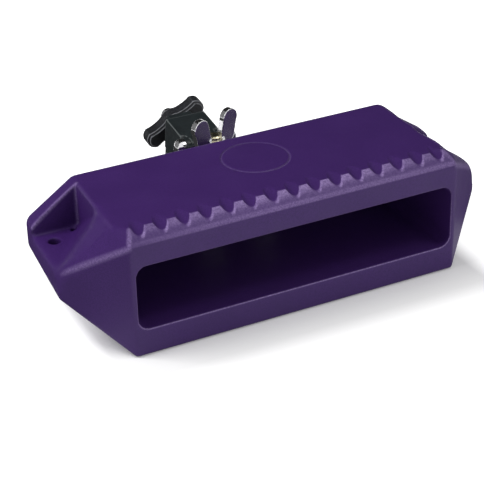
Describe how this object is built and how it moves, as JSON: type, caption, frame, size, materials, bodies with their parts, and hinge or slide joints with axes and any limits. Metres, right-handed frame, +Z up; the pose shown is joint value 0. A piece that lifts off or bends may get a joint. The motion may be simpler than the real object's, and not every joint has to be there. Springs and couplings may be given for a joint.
{
  "type": "woodblock",
  "caption": "Moulded plastic percussion block with a front sound slot, a scalloped crest and drilled end ears, on a swivelling and tilting rod clamp.",
  "frame": {"origin": "centre of the block's flat underside", "axes": "+X along the block, +Y from the slotted front to the clamp, +Z up"},
  "size_m": [0.2474, 0.1658, 0.075],
  "materials": {
    "purple_plastic": "fine matt grain, moulded",
    "zinc_steel": "bright zinc plated",
    "yellow_zinc": "yellow zinc plated",
    "chrome": "polished chrome plate",
    "black_cast": "satin black coated casting",
    "black_plastic": "fine grained black plastic",
    "brass": "turned brass"
  },
  "bodies": {
    "block": {"block_shell": "purple_plastic", "rear_bracket": "zinc_steel", "bracket_screws": "zinc_steel", "lock_washers": "zinc_steel", "inner_washers": "zinc_steel", "inner_nuts": "zinc_steel", "swivel_bolt": "yellow_zinc"},
    "arm": {"swivel_arm": "black_cast", "tilt_bolt": "chrome", "tilt_washer": "zinc_steel", "tilt_nut": "zinc_steel"},
    "washer": {"swivel_washer": "zinc_steel"},
    "wing_nut": {"wing_nut": "chrome"},
    "vise": {"vise_body": "black_cast", "clamp_stud": "chrome", "stud_nut": "zinc_steel"},
    "jaw": {"moving_jaw": "black_cast", "jaw_washer": "zinc_steel"},
    "knob": {"t_knob": "black_plastic", "knob_insert": "brass"}
  },
  "joints": [
    {"name": "arm_swivel", "type": "hinge", "parent": "block", "child": "arm", "pos_m": [0, 0.0585, 0.047], "axis": [0, 0, 1], "range_deg": [-60, 60]},
    {"name": "vise_tilt", "type": "hinge", "parent": "arm", "child": "vise", "pos_m": [0, 0.0735, 0.052], "axis": [1, 0, 0], "range_deg": [-25, 50]},
    {"name": "washer_lift", "type": "slide", "parent": "block", "child": "washer", "axis": [0, 0, 1], "range_m": [0, 0.0025]},
    {"name": "wing_nut_turn", "type": "hinge", "parent": "washer", "child": "wing_nut", "pos_m": [0, 0.0585, 0.0525], "axis": [0, 0, 1], "range_deg": [0, 720]},
    {"name": "jaw_slide", "type": "slide", "parent": "vise", "child": "jaw", "axis": [0, 0.9848, 0.1736], "range_m": [-0.00313, 0.00375]},
    {"name": "knob_turn", "type": "hinge", "parent": "jaw", "child": "knob", "pos_m": [0, 0.1145, 0.04867], "axis": [0, 0.9848, 0.1736], "range_deg": [-900, 1080]}
  ],
  "couplings": [
    {"joint": "wing_nut_turn", "follows": "washer_lift", "rad_per_m": 5026.5},
    {"joint": "knob_turn", "follows": "jaw_slide", "rad_per_m": 5026.5}
  ]
}
